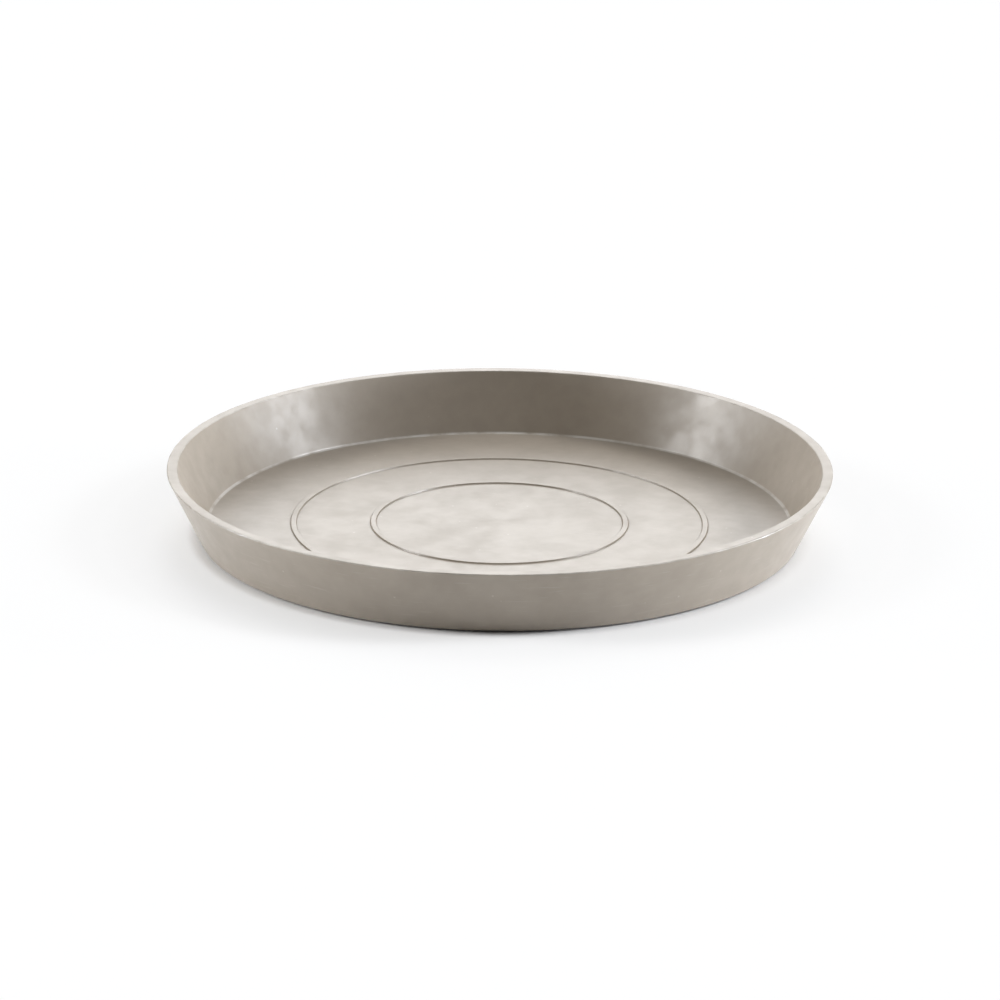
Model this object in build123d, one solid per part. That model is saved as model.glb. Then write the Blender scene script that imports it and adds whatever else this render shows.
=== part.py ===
from build123d import *
from math import cos, radians, tan
import os

# A round plant saucer: one moulded dish with two ridges on its floor, standing on stick-on pads.
# Millimetres, +Z up. The origin is the centre of the dish, on the surface that it stands on.

# Dish
rim_diameter = 300.0
floor_depth = 27.1  # from the rim down to the floor inside
floor_thickness = 3.7
wall_thickness = 4.5  # square to the wall
wall_flare = 26.0  # degrees that the wall leans outwards from upright
floor_fillet = 1.5  # where the wall runs into the floor
rim_edge_round = 0.4
base_edge_round = 0.8

# Ridges that lift the pot off the wet floor
ridge_count = 2
ridge_height = 0.65
ridge_top_width = 2.3
ridge_flank_run = 0.4  # how far each flank leans outwards over its height
ridge_edge_round = 0.15
ridge_root_fillet = 0.15
outer_ridge_inset = 39.0  # from the foot of the wall to the middle of the outer ridge
ridge_spacing = 36.0  # from the middle of one ridge to the middle of the next

# Foot pads, each stuck into a shallow round seat under the floor
pad_count = 6
pad_diameter = 16.0
pad_thickness = 2.0
pad_edge_round = 0.4
pad_seat_depth = 1.2
pad_seat_clearance = 0.2  # all round the pad
pad_seat_inset = 12.0  # from the edge of the base to the near side of the seat

# Gate mark that the moulding leaves in the middle of the underside
gate_recess_diameter = 14.0
gate_recess_depth = 0.8
gate_stub_diameter = 3.5
gate_stub_height = 0.5

cut_overrun = 1.0  # how far a cutter reaches past the face that it opens
sharp = 0.0

# Heights above the surface that the saucer stands on
base_height = pad_thickness - pad_seat_depth
floor_height = base_height + floor_thickness
rim_height = floor_height + floor_depth
ridge_top_height = floor_height + ridge_height
gate_roof_height = base_height + gate_recess_depth
gate_stub_tip_height = gate_roof_height - gate_stub_height

# Radii from the middle of the dish
flare_slope = tan(radians(wall_flare))
rim_corner_angle = radians(90 - wall_flare)
rim_corner_loss = rim_edge_round * (1 / tan(rim_corner_angle / 2) - 1)  # what the rounding takes off
rim_outer_radius = rim_diameter / 2 + rim_corner_loss  # of the corner before it is rounded
rim_inner_radius = rim_outer_radius - wall_thickness / cos(radians(wall_flare))
floor_radius = rim_inner_radius - floor_depth * flare_slope
base_radius = rim_outer_radius - (rim_height - base_height) * flare_slope
ridge_top_half = ridge_top_width / 2
ridge_foot_half = ridge_top_half + ridge_flank_run
ridge_radii = [floor_radius - outer_ridge_inset - step * ridge_spacing for step in range(ridge_count)]
gate_recess_radius = gate_recess_diameter / 2
gate_stub_radius = gate_stub_diameter / 2
pad_radius = pad_diameter / 2
pad_seat_radius = pad_radius + pad_seat_clearance
pad_circle_radius = base_radius - pad_seat_inset - pad_seat_radius
pad_places = list(PolarLocations(pad_circle_radius, pad_count))


def ridge_corners(ridge_radius):
    """One ridge's corners, from its outer foot over the top to its inner foot."""
    return [
        (ridge_radius + ridge_foot_half, floor_height, ridge_root_fillet),
        (ridge_radius + ridge_top_half, ridge_top_height, ridge_edge_round),
        (ridge_radius - ridge_top_half, ridge_top_height, ridge_edge_round),
        (ridge_radius - ridge_foot_half, floor_height, ridge_root_fillet),
    ]


def dish_section():
    """Half of the dish's section: along the underside, up the wall, over the rim and back over the floor.

    Each corner is a radius, a height and the rounding of that corner.
    """
    corners = [
        (gate_stub_radius, gate_stub_tip_height, sharp),
        (gate_stub_radius, gate_roof_height, sharp),
        (gate_recess_radius, gate_roof_height, sharp),
        (gate_recess_radius, base_height, sharp),
        (base_radius, base_height, base_edge_round),
        (rim_outer_radius, rim_height, rim_edge_round),
        (rim_inner_radius, rim_height, rim_edge_round),
        (floor_radius, floor_height, floor_fillet),
    ]
    for ridge_radius in ridge_radii:
        corners += ridge_corners(ridge_radius)
    points = [(radius, height) for radius, height, rounding in corners]
    roundings = [rounding for radius, height, rounding in corners]
    outline = FilletPolyline((0, gate_stub_tip_height), *points, (0, floor_height), radius=roundings)
    centre_line = Line(outline @ 1, outline @ 0)
    return Plane.XZ * make_face([outline, centre_line])


def saucer():
    """The dish turned from its section, with a seat for each pad cut into its underside."""
    dish = revolve(dish_section(), Axis.Z)
    seat = Cylinder(
        pad_seat_radius,
        pad_seat_depth + cut_overrun,
        align=(Align.CENTER, Align.CENTER, Align.MIN),
    )
    seat_bottom = Pos(0, 0, base_height - cut_overrun)
    return dish - [place * seat_bottom * seat for place in pad_places]


def foot_pad():
    """One round pad, with its lower edge rounded, standing at the origin."""
    pad = Cylinder(pad_radius, pad_thickness, align=(Align.CENTER, Align.CENTER, Align.MIN))
    lower_edge = pad.edges().group_by(Axis.Z)[0]
    return fillet(lower_edge, pad_edge_round)


os.makedirs("parts", exist_ok=True)
export_step(saucer(), "parts/saucer.step")
for number, place in enumerate(pad_places, start=1):
    export_step(place * foot_pad(), f"parts/foot_pad_{number}.step")
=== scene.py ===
from math import cos, pi, radians, sin, tan

import bmesh
import bpy
from mathutils import Matrix, Vector, noise


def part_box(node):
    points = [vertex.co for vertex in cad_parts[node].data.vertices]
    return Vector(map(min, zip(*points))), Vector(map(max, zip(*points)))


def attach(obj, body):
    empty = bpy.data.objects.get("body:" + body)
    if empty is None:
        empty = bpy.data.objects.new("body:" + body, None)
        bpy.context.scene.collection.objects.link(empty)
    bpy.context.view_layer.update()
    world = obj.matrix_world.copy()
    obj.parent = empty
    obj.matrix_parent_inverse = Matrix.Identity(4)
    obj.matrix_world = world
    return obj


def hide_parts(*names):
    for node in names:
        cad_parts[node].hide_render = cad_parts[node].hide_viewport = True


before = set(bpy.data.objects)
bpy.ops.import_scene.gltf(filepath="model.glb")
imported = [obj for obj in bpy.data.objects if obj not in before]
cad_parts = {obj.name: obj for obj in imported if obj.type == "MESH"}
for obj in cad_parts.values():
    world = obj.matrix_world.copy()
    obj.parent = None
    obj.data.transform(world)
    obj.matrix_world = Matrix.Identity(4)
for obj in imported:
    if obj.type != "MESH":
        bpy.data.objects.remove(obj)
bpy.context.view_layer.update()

# Dish, in metres. Its reach comes from the CAD saucer, and the rest repeats the CAD part's sizes.
saucer_low, saucer_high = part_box("saucer")
RIM_RADIUS = saucer_high.x
RIM_HEIGHT = saucer_high.z
BASE_HEIGHT = saucer_low.z
FLOOR_DEPTH = 0.0271
WALL_THICKNESS = 0.0045
WALL_FLARE = radians(26)
FLOOR_FILLET = 0.0015
RIM_EDGE_ROUND = 0.0004
BASE_EDGE_ROUND = 0.0008
RIDGE_INSETS = (0.039, 0.075)
RIDGE_HEIGHT = 0.00065
RIDGE_TOP_WIDTH = 0.0023
RIDGE_FLANK_RUN = 0.0004
RIDGE_EDGE_ROUND = 0.00015
RIDGE_ROOT_FILLET = 0.00015
GATE_RECESS_RADIUS = 0.007
GATE_RECESS_DEPTH = 0.0008
GATE_STUB_RADIUS = 0.00175
GATE_STUB_HEIGHT = 0.0005
PAD_SEAT_CLEARANCE = 0.0002
SHARP = 0.0

FLOOR_HEIGHT = RIM_HEIGHT - FLOOR_DEPTH
RIDGE_TOP_HEIGHT = FLOOR_HEIGHT + RIDGE_HEIGHT
GATE_ROOF_HEIGHT = BASE_HEIGHT + GATE_RECESS_DEPTH
GATE_TIP_HEIGHT = GATE_ROOF_HEIGHT - GATE_STUB_HEIGHT
RIM_CORNER_LOSS = RIM_EDGE_ROUND * (1 / tan((pi / 2 - WALL_FLARE) / 2) - 1)
RIM_OUTER_RADIUS = RIM_RADIUS + RIM_CORNER_LOSS
RIM_INNER_RADIUS = RIM_OUTER_RADIUS - WALL_THICKNESS / cos(WALL_FLARE)
FLOOR_RADIUS = RIM_INNER_RADIUS - FLOOR_DEPTH * tan(WALL_FLARE)
BASE_RADIUS = RIM_OUTER_RADIUS - (RIM_HEIGHT - BASE_HEIGHT) * tan(WALL_FLARE)

# Mesh of the dish: its steps round the axis, and its rows along the section
TURNS = 360
ROW = 0.0025
EDGE_ROW = 0.0003
ARC_STEPS = 6
SEAT_TURNS = 72
SEAT_CUTTER_HEIGHT = 0.002
SHARP_EDGE_ANGLE = radians(35)

# Unevenness of the moulding, always into the material, and of its worn edges
WAVE_DEPTH = 0.0001
WAVE_LENGTH = 0.03
EDGE_WEAR_DEPTH = 0.00015
EDGE_WEAR_LENGTH = 0.008

# How pale the corners are, from 0 to 1: rubbed wear on the base and rim, a painted highlight along the foot,
# rubbed wear with a painted highlight on the ridges' edges, and painted light in the ridges' roots
BASE_PALENESS = 0.45
RIM_PALENESS = 0.65
# The foot fillet's pale line is a painted highlight, not wear.
FOOT_PAINTED_HIGHLIGHT = 1.0
# The ridges' top edges are pale from rubbed wear and a painted highlight, and their roots are painted lighter
# against the shade of the ridge lines.
RIDGE_EDGE_WEAR_AND_PAINTED_HIGHLIGHT = 0.4
RIDGE_ROOT_PAINTED_LIGHT = 0.3

# Plastic: its colours and sheen, and the sizes of its marks in metres
PLASTIC_SHADE = (0.367, 0.317, 0.258, 1)
PLASTIC_TINT = (0.399, 0.344, 0.280, 1)
PLASTIC_PALE = (0.62, 0.585, 0.53, 1)
ROUGHNESS_DULL = 0.35
ROUGHNESS_SHINY = 0.31
SHEEN_DULL = 0.36
SHEEN_BRIGHT = 0.6
WALL_SHEEN_DULL = 0.36
WALL_SHEEN_BRIGHT = 0.66
WALL_NORMAL_SPAN = 0.2
CLOUD_SIZE = 0.022
CLOUD_SHARE = 0.6
PATCH_SIZE = 0.008
PATCH_SHARE = 0.4
PATCH_RELIEF = 0.000012
STREAK_LENGTH = 0.014
STREAK_HEIGHT = 0.0008
SCUFF_LENGTH = 0.03
SCUFF_WIDTH = 0.0012
SCUFF_TURN = radians(20)
SPECK_SPACING = 0.011
SPECK_RADIUS = 0.0006
GRAIN_SIZE = 0.0012
GRAIN_RELIEF = 0.000006

# Where in its noise each mark starts and is full, and the low and high ends of the clouds' noise
STREAK_SPAN = (0.62, 0.75)
SCUFF_SPAN = (0.62, 0.78)
RUBBED_AND_PAINTED_LIGHT_SPAN = (0.25, 0.6)
TONE_SPAN = (0.35, 0.65)
SHEEN_SPAN = (0.38, 0.62)

# How strongly each kind of mark shows, from 0 to 1
SPECK_STRENGTH = 0.45
# The rubbed edges' strength also sets the painted highlight and painted light of the foot and ridges.
RUBBED_AND_PAINTED_LIGHT_STRENGTH = 0.85
STREAK_STRENGTH = 0.2
SCUFF_STRENGTH = 0.12

# Rubber of the pads
RUBBER_DARK = (0.022, 0.022, 0.023, 1)
RUBBER_LIGHT = (0.038, 0.038, 0.04, 1)
RUBBER_ROUGHNESS = 0.8
RUBBER_GRAIN_SIZE = 0.0006
RUBBER_GRAIN_RELIEF = 0.0001
RUBBER_GRAIN_STRENGTH = 0.3

# Camera, from the rim's shape in the photograph
CAMERA_ELEVATION = radians(18.053)
CAMERA_DISTANCE = 2.4
CAMERA_ROLL = radians(0.453)
CAMERA_LENS = 191.7
CAMERA_AIM = Vector((0.00016, 0, 0.01505))
SENSOR_WIDTH = 36

# Soft lights in the sky: azimuth from straight behind the saucer towards the right, elevation, spread,
# strength and colour
PLAIN = Vector((1, 1, 1))
COOL = Vector((0.975, 1, 1.04))
COLD = Vector((0.93, 1, 1.11))
SKY_LIGHTS = (
    (90, 32, 7, 50, COOL),
    (83, 2, 6, 105, COLD),
    (-92, 29, 8, 28, PLAIN),
    (-83, 2, 6, 66, COLD),
    (0, 18, 10, 3.1, PLAIN),
    (0, 36, 10, 7.2, PLAIN),
    (0, 55, 15, 3.0, COOL),
)

# Floor of the studio: how white it is shown out in the open and beside the saucer, how far the saucer
# counts as near, and how open the floor is where each whiteness starts
STUDIO_SIZE = 8.0
STUDIO_TONE = 0.96
WHITE_IN_OPEN = 0.85
WHITE_BESIDE = 0.5
BESIDE_REACH = 0.04
BESIDE_OPENNESS = 0.4
GAP_REACH = 0.006
GAP_OPENNESS = 0.5


class Nodes:
    """A node tree, with one short call to add a node and to fill or link its inputs."""

    def __init__(self, owner):
        owner.use_nodes = True
        self.tree = owner.node_tree
        self.tree.nodes.clear()

    def add(self, kind, inputs=(), **settings):
        node = self.tree.nodes.new("ShaderNode" + kind)
        for name, value in settings.items():
            setattr(node, name, value)
        self.fill(node.inputs, inputs)
        return node

    def fill(self, sockets, inputs):
        for name, value in dict(inputs).items():
            if isinstance(value, bpy.types.NodeSocket):
                self.tree.links.new(value, sockets[name])
            else:
                sockets[name].default_value = value

    def math(self, operation, *values):
        return self.add("Math", enumerate(values), operation=operation).outputs[0]

    def noise(self, place, size, detail=3.0):
        """Cloudy noise from 0 to 1 whose main features are about size metres across."""
        return self.add("TexNoise", {"Vector": place, "Scale": 1 / size, "Detail": detail}).outputs["Fac"]

    def remap(self, value, low, high, to_low, to_high):
        sockets = {"Value": value, "From Min": low, "From Max": high, "To Min": to_low, "To Max": to_high}
        return self.add("MapRange", sockets).outputs["Result"]


def rounded_corner(before, corner, after, rounding):
    """Points of the arc that rounds a corner, or the corner itself where it is sharp."""
    if rounding == SHARP:
        return [corner]
    to_before = (before - corner).normalized()
    to_after = (after - corner).normalized()
    half_angle = to_before.angle(to_after) / 2
    reach = rounding / tan(half_angle)
    centre = corner + (to_before + to_after).normalized() * rounding / sin(half_angle)
    first = corner + to_before * reach - centre
    last = corner + to_after * reach - centre
    return [centre + first.slerp(last, step / ARC_STEPS) * rounding for step in range(ARC_STEPS + 1)]


def straight_run(start, end):
    """Points between two corners: one close to each end, so that the flat stays flat, and even rows."""
    length = (end - start).length
    between = length - 2 * EDGE_ROW
    if between < EDGE_ROW:
        return []
    rows = max(1, round(between / ROW))
    return [start.lerp(end, (EDGE_ROW + between * row / rows) / length) for row in range(rows + 1)]


def dish_corners():
    """The dish's section from the middle of its underside, over the rim, to the middle of its floor.

    Each corner is a radius, a height, its rounding, its paleness, which is rubbed wear on the base and rim
    and a painted highlight and painted light on the foot and ridges, and how deep it is worn.
    """
    corners = [
        (GATE_STUB_RADIUS, GATE_TIP_HEIGHT, SHARP, 0, 0),
        (GATE_STUB_RADIUS, GATE_ROOF_HEIGHT, SHARP, 0, 0),
        (GATE_RECESS_RADIUS, GATE_ROOF_HEIGHT, SHARP, 0, 0),
        (GATE_RECESS_RADIUS, BASE_HEIGHT, SHARP, 0, 0),
        (BASE_RADIUS, BASE_HEIGHT, BASE_EDGE_ROUND, BASE_PALENESS, EDGE_WEAR_DEPTH),
        (RIM_OUTER_RADIUS, RIM_HEIGHT, RIM_EDGE_ROUND, RIM_PALENESS, EDGE_WEAR_DEPTH),
        (RIM_INNER_RADIUS, RIM_HEIGHT, RIM_EDGE_ROUND, RIM_PALENESS, EDGE_WEAR_DEPTH),
        # The floor fillet at the foot of the wall is painted pale as a highlight.
        (FLOOR_RADIUS, FLOOR_HEIGHT, FLOOR_FILLET, FOOT_PAINTED_HIGHLIGHT, 0),
    ]
    for inset in RIDGE_INSETS:
        radius = FLOOR_RADIUS - inset
        top, foot = RIDGE_TOP_WIDTH / 2, RIDGE_TOP_WIDTH / 2 + RIDGE_FLANK_RUN
        corners += [
            # Ridge roots get painted light, and ridge top edges rubbed wear with a painted highlight.
            (radius + foot, FLOOR_HEIGHT, RIDGE_ROOT_FILLET, RIDGE_ROOT_PAINTED_LIGHT, 0),
            (radius + top, RIDGE_TOP_HEIGHT, RIDGE_EDGE_ROUND, RIDGE_EDGE_WEAR_AND_PAINTED_HIGHLIGHT, 0),
            (radius - top, RIDGE_TOP_HEIGHT, RIDGE_EDGE_ROUND, RIDGE_EDGE_WEAR_AND_PAINTED_HIGHLIGHT, 0),
            (radius - foot, FLOOR_HEIGHT, RIDGE_ROOT_FILLET, RIDGE_ROOT_PAINTED_LIGHT, 0),
        ]
    return corners


def dish_stations():
    """The section as points close enough together to turn, each with its paleness and the depth of its wear.

    The ends of a corner's arc have none, so that the flats beside it stay as they are.
    """
    corners = dish_corners()
    points = [Vector((0, GATE_TIP_HEIGHT))]
    points += [Vector((radius, height)) for radius, height, rounding, pale, worn in corners]
    points += [Vector((0, FLOOR_HEIGHT))]
    stations = [(points[0], 0, 0)]
    for index, (radius, height, rounding, pale, worn) in enumerate(corners):
        before, corner, after = points[index : index + 3]
        arc = rounded_corner(before, corner, after, rounding)
        stations += [(point, 0, 0) for point in straight_run(stations[-1][0], arc[0])]
        for step, point in enumerate(arc):
            inside = 0 < step < len(arc) - 1
            stations.append((point, pale, worn) if inside else (point, 0, 0))
    stations += [(point, 0, 0) for point in straight_run(stations[-1][0], points[-1])]
    return stations + [(points[-1], 0, 0)]


def unevenness(point, worn):
    """How far the real surface lies inside the true one at a point."""
    wave = WAVE_DEPTH * (1 + noise.noise(point / WAVE_LENGTH)) / 2
    wear = worn * (1 + noise.noise(point / EDGE_WEAR_LENGTH)) / 2
    return wave + wear


def turned_mesh(name, stations):
    """The mesh that the stations sweep in a full turn, with a paleness at each vertex."""
    vertices, pales, rings = [], [], []
    for index, (point, pale, worn) in enumerate(stations):
        before = stations[max(index - 1, 0)][0]
        after = stations[min(index + 1, len(stations) - 1)][0]
        along = (after - before).normalized()
        count = TURNS if point.x > 0 else 1
        rings.append([len(vertices) + step for step in range(count)])
        for step in range(count):
            angle = 2 * pi * step / TURNS
            outward = Vector((cos(angle), sin(angle), 0))
            true_place = outward * point.x + Vector((0, 0, point.y))
            normal = outward * along.y - Vector((0, 0, along.x))
            vertices.append(true_place - normal * unevenness(true_place, worn))
            pales.append(pale)
    faces = []
    for ring, following in zip(rings, rings[1:]):
        for step in range(TURNS):
            here, there = step, (step + 1) % TURNS
            if len(ring) == 1:
                faces.append((ring[0], following[there], following[here]))
            elif len(following) == 1:
                faces.append((ring[here], ring[there], following[0]))
            else:
                faces.append((ring[here], ring[there], following[there], following[here]))
    mesh = bpy.data.meshes.new(name)
    mesh.from_pydata(vertices, [], faces)
    mesh.attributes.new("paleness", "FLOAT", "POINT").data.foreach_set("value", pales)
    return mesh


def placed(name, data):
    piece = bpy.data.objects.new(name, data)
    bpy.context.scene.collection.objects.link(piece)
    return piece


def pad_names():
    return [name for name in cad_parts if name.startswith("foot_pad")]


def seat_cutters():
    """A round cutter at each pad, a little wider than the pad and ending level with its top."""
    shapes = bmesh.new()
    for name in pad_names():
        low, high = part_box(name)
        middle = Vector(((low.x + high.x) / 2, (low.y + high.y) / 2, high.z - SEAT_CUTTER_HEIGHT / 2))
        radius = (high.x - low.x) / 2 + PAD_SEAT_CLEARANCE
        bmesh.ops.create_cone(
            shapes,
            cap_ends=True,
            segments=SEAT_TURNS,
            radius1=radius,
            radius2=radius,
            depth=SEAT_CUTTER_HEIGHT,
            matrix=Matrix.Translation(middle),
        )
    mesh = bpy.data.meshes.new("seat_cutters")
    shapes.to_mesh(mesh)
    shapes.free()
    return placed("seat_cutters", mesh)


def saucer_shell():
    """The dish, with the pads' seats cut into its underside."""
    shell = placed("saucer_shell", turned_mesh("saucer_shell", dish_stations()))
    cutters = seat_cutters()
    seats = shell.modifiers.new("seats", "BOOLEAN")
    seats.object = cutters
    seats.solver = "EXACT"
    finished = shell.evaluated_get(bpy.context.evaluated_depsgraph_get())
    mesh = bpy.data.meshes.new_from_object(finished)
    shell.modifiers.remove(seats)
    shell.data = mesh
    bpy.data.objects.remove(cutters)
    mesh.shade_smooth()
    mesh.set_sharp_from_angle(angle=SHARP_EDGE_ANGLE)
    mesh.materials.clear()
    mesh.materials.append(moulded_plastic())
    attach(shell, "root")
    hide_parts("saucer")


def wall_share(nodes, side):
    """1 on the inside of the flared wall, or on its outside for a side of -1, and 0 elsewhere."""
    facing = nodes.add("NewGeometry").outputs["Normal"]
    upward = nodes.add("SeparateXYZ", {"Vector": facing}).outputs["Z"]
    return nodes.math("COMPARE", upward, side * sin(WALL_FLARE), WALL_NORMAL_SPAN)


def streaks(nodes, place):
    """Short level streaks on the outside of the wall, from 0 to 1."""
    squashed = (1 / STREAK_LENGTH, 1 / STREAK_LENGTH, 1 / STREAK_HEIGHT)
    along_wall = nodes.add("Mapping", {"Vector": place, "Scale": squashed}).outputs["Vector"]
    lines = nodes.remap(nodes.noise(along_wall, 1, 2.0), *STREAK_SPAN, 0, 1)
    return nodes.math("MULTIPLY", lines, wall_share(nodes, -1))


def scuffs(nodes, place):
    """Faint rubbed lines on the flat floor, from 0 to 1."""
    stretched = (1 / SCUFF_LENGTH, 1 / SCUFF_WIDTH, 1 / SCUFF_LENGTH)
    turned = nodes.add("Mapping", {"Vector": place, "Rotation": (0, 0, SCUFF_TURN)}).outputs["Vector"]
    along = nodes.add("Mapping", {"Vector": turned, "Scale": stretched}).outputs["Vector"]
    lines = nodes.remap(nodes.noise(along, 1, 2.0), *SCUFF_SPAN, 0, 1)
    height = nodes.add("SeparateXYZ", {"Vector": place}).outputs["Z"]
    on_floor = nodes.remap(height, FLOOR_HEIGHT, FLOOR_HEIGHT + RIDGE_HEIGHT, 1, 0)
    return nodes.math("MULTIPLY", lines, on_floor)


def specks(nodes, place):
    """Small scattered pale specks, from 0 to 1."""
    cells = nodes.add("TexVoronoi", {"Vector": place, "Scale": 1 / SPECK_SPACING})
    edge = SPECK_RADIUS / SPECK_SPACING
    return nodes.remap(cells.outputs["Distance"], edge, edge / 2, 0, 1)


def rubbed_and_painted_light_edges(nodes, place):
    """Paleness of the rubbed edges, and of the painted highlight and painted light on the foot and ridges,
    broken up, from 0 to 1.
    """
    paleness = nodes.add("Attribute", attribute_name="paleness").outputs["Fac"]
    broken = nodes.remap(nodes.noise(place, EDGE_WEAR_LENGTH), *RUBBED_AND_PAINTED_LIGHT_SPAN, 0, 1)
    return nodes.math("MULTIPLY", paleness, broken)


def pale_marks(nodes, place):
    """All the pale marks together, each as strong as it shows, from 0 to 1."""
    strongest = nodes.math("MULTIPLY", specks(nodes, place), SPECK_STRENGTH)
    # The rubbed edges carry the painted highlight of the foot and the painted light of the ridges too.
    others = ((rubbed_and_painted_light_edges, RUBBED_AND_PAINTED_LIGHT_STRENGTH), (streaks, STREAK_STRENGTH), (scuffs, SCUFF_STRENGTH))
    for marks, strength in others:
        shown = nodes.math("MULTIPLY", marks(nodes, place), strength)
        strongest = nodes.math("MAXIMUM", strongest, shown)
    return strongest


def moulded_plastic():
    """Warm grey satin plastic, cloudy in tone and sheen, with a fine grain, pale marks, and painted
    highlights along the foot and ridges.
    """
    material = bpy.data.materials.new("moulded_plastic")
    nodes = Nodes(material)
    place = nodes.add("TexCoord").outputs["Object"]
    cloud = nodes.noise(place, CLOUD_SIZE, 4.0)
    patch = nodes.noise(place, PATCH_SIZE)
    grain = nodes.noise(place, GRAIN_SIZE, 1.0)
    mottle = nodes.math("MULTIPLY_ADD", patch, PATCH_SHARE, nodes.math("MULTIPLY", cloud, CLOUD_SHARE))

    tones = nodes.add("ValToRGB", {"Fac": mottle})
    for stop, position, tone in zip(tones.color_ramp.elements, TONE_SPAN, (PLASTIC_SHADE, PLASTIC_TINT)):
        stop.position = position
        stop.color = tone
    colour = nodes.add("Mix", data_type="RGBA")
    nodes.fill(colour.inputs, {0: pale_marks(nodes, place), 6: tones.outputs["Color"], 7: PLASTIC_PALE})

    floor_sheen = nodes.remap(mottle, *SHEEN_SPAN, SHEEN_DULL, SHEEN_BRIGHT)
    wall_sheen = nodes.remap(patch, *TONE_SPAN, WALL_SHEEN_DULL, WALL_SHEEN_BRIGHT)
    sheen = nodes.add("Mix", data_type="FLOAT")
    nodes.fill(sheen.inputs, {0: wall_share(nodes, 1), 2: floor_sheen, 3: wall_sheen})
    roughness = nodes.remap(patch, *TONE_SPAN, ROUGHNESS_DULL, ROUGHNESS_SHINY)
    relief = nodes.math("MULTIPLY", patch, PATCH_RELIEF)
    relief = nodes.math("MULTIPLY_ADD", grain, GRAIN_RELIEF, relief)
    bump = nodes.add("Bump", {"Height": relief, "Strength": 1, "Distance": 1})
    inputs = {
        "Base Color": colour.outputs[2],
        "Roughness": roughness,
        "Specular IOR Level": sheen.outputs[0],
        "Normal": bump.outputs["Normal"],
    }
    surface = nodes.add("BsdfPrincipled", inputs)
    nodes.add("OutputMaterial", {"Surface": surface.outputs["BSDF"]})
    return material


def pad_rubber():
    """Dull black rubber with a fine grain."""
    material = bpy.data.materials.new("dull_rubber")
    nodes = Nodes(material)
    place = nodes.add("TexCoord").outputs["Object"]
    grain = nodes.noise(place, RUBBER_GRAIN_SIZE)
    relief = {"Height": grain, "Strength": RUBBER_GRAIN_STRENGTH, "Distance": RUBBER_GRAIN_RELIEF}
    bump = nodes.add("Bump", relief)
    tones = nodes.add("ValToRGB", {"Fac": grain})
    tones.color_ramp.elements[0].color = RUBBER_DARK
    tones.color_ramp.elements[1].color = RUBBER_LIGHT
    inputs = {
        "Base Color": tones.outputs["Color"],
        "Roughness": RUBBER_ROUGHNESS,
        "Normal": bump.outputs["Normal"],
    }
    surface = nodes.add("BsdfPrincipled", inputs)
    nodes.add("OutputMaterial", {"Surface": surface.outputs["BSDF"]})
    return material


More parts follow.
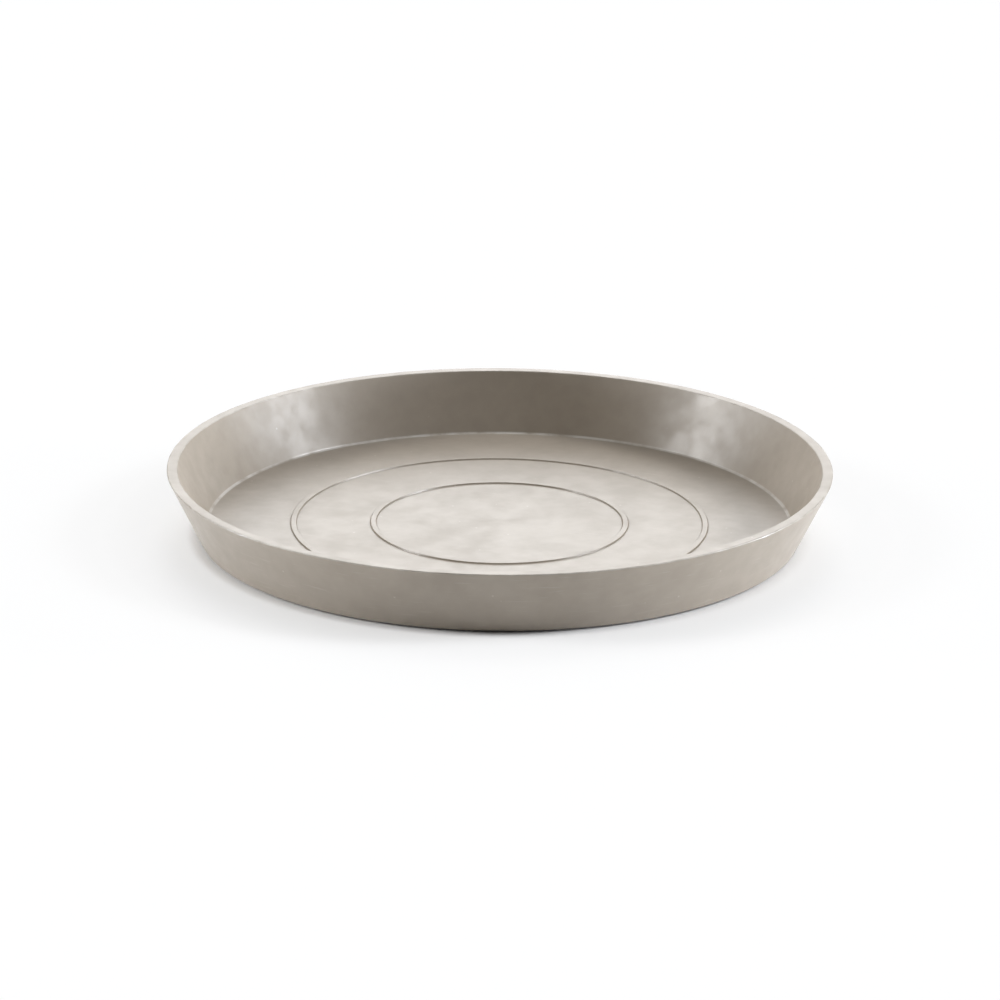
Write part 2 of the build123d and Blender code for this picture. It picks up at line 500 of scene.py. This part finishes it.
def studio_floor():
    """A wide white floor, which the camera and reflections see partly as plain white.

    It is whitest out in the open, less white beside the saucer and not at all in the gap under it, so that
    the saucer's shadow stays.
    """
    half = STUDIO_SIZE / 2
    corners = [(-half, -half, 0), (half, -half, 0), (half, half, 0), (-half, half, 0)]
    mesh = bpy.data.meshes.new("studio_floor")
    mesh.from_pydata(corners, [], [(0, 1, 2, 3)])
    material = bpy.data.materials.new("white_floor")
    material.cycles.emission_sampling = "NONE"
    nodes = Nodes(material)
    ray = nodes.add("LightPath").outputs
    seen = nodes.math("MAXIMUM", ray["Is Camera Ray"], ray["Is Glossy Ray"])
    open_to_room = nodes.add("AmbientOcclusion", {"Distance": BESIDE_REACH}).outputs["AO"]
    out_of_gap = nodes.add("AmbientOcclusion", {"Distance": GAP_REACH}).outputs["AO"]
    whiteness = nodes.remap(open_to_room, BESIDE_OPENNESS, 1, WHITE_BESIDE, WHITE_IN_OPEN)
    shown_white = nodes.math("MULTIPLY", whiteness, nodes.remap(out_of_gap, GAP_OPENNESS, 1, 0, 1))
    white_share = nodes.math("MULTIPLY", seen, shown_white)
    lit = nodes.add("BsdfDiffuse", {"Color": (STUDIO_TONE, STUDIO_TONE, STUDIO_TONE, 1)})
    white = nodes.add("Emission", {"Color": (1, 1, 1, 1), "Strength": 1})
    shown = nodes.add("MixShader", {0: white_share, 1: lit.outputs[0], 2: white.outputs[0]})
    nodes.add("OutputMaterial", {"Surface": shown.outputs[0]})
    mesh.materials.append(material)
    floor = placed("studio_floor", mesh)


def studio_sky():
    """A sky of soft lights, which the camera itself sees as plain white."""
    world = bpy.data.worlds.new("studio")
    bpy.context.scene.world = world
    nodes = Nodes(world)
    way = nodes.add("TexCoord").outputs["Generated"]
    total = (0, 0, 0)
    for azimuth, elevation, spread, strength, colour in SKY_LIGHTS:
        flat = cos(radians(elevation))
        towards = (flat * sin(radians(azimuth)), flat * cos(radians(azimuth)), sin(radians(elevation)))
        facing = nodes.add("VectorMath", {0: way, 1: towards}, operation="DOT_PRODUCT").outputs["Value"]
        sharpness = 1 / (1 - cos(radians(spread)))
        falloff = nodes.math("EXPONENT", nodes.math("MULTIPLY", nodes.math("SUBTRACT", facing, 1), sharpness))
        share = {0: falloff, 1: colour * strength, 2: total}
        total = nodes.add("VectorMath", share, operation="MULTIPLY_ADD").outputs["Vector"]
    lights = nodes.add("Background", {"Color": total})
    white = nodes.add("Background", {"Color": (1, 1, 1, 1)})
    for_camera = nodes.add("LightPath").outputs["Is Camera Ray"]
    shown = nodes.add("MixShader", {0: for_camera, 1: lights.outputs[0], 2: white.outputs[0]})
    nodes.add("OutputWorld", {"Surface": shown.outputs[0]})


def photo_camera():
    data = bpy.data.cameras.new("camera")
    data.lens = CAMERA_LENS
    data.sensor_width = SENSOR_WIDTH
    camera = placed("camera", data)
    back = Vector((0, -cos(CAMERA_ELEVATION), sin(CAMERA_ELEVATION)))
    camera.location = Vector((0, 0, RIM_HEIGHT)) + back * CAMERA_DISTANCE
    look = (CAMERA_AIM - camera.location).to_track_quat("-Z", "Y").to_matrix()
    camera.rotation_euler = (look @ Matrix.Rotation(CAMERA_ROLL, 3, "Z")).to_euler()
    bpy.context.scene.camera = camera


def foot_pads():
    """The CAD pads, dressed in rubber."""
    rubber = pad_rubber()
    for name in pad_names():
        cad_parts[name].material_slots[0].material = rubber


saucer_shell()
foot_pads()
studio_floor()
studio_sky()
photo_camera()
bpy.context.scene.view_settings.view_transform = "Standard"
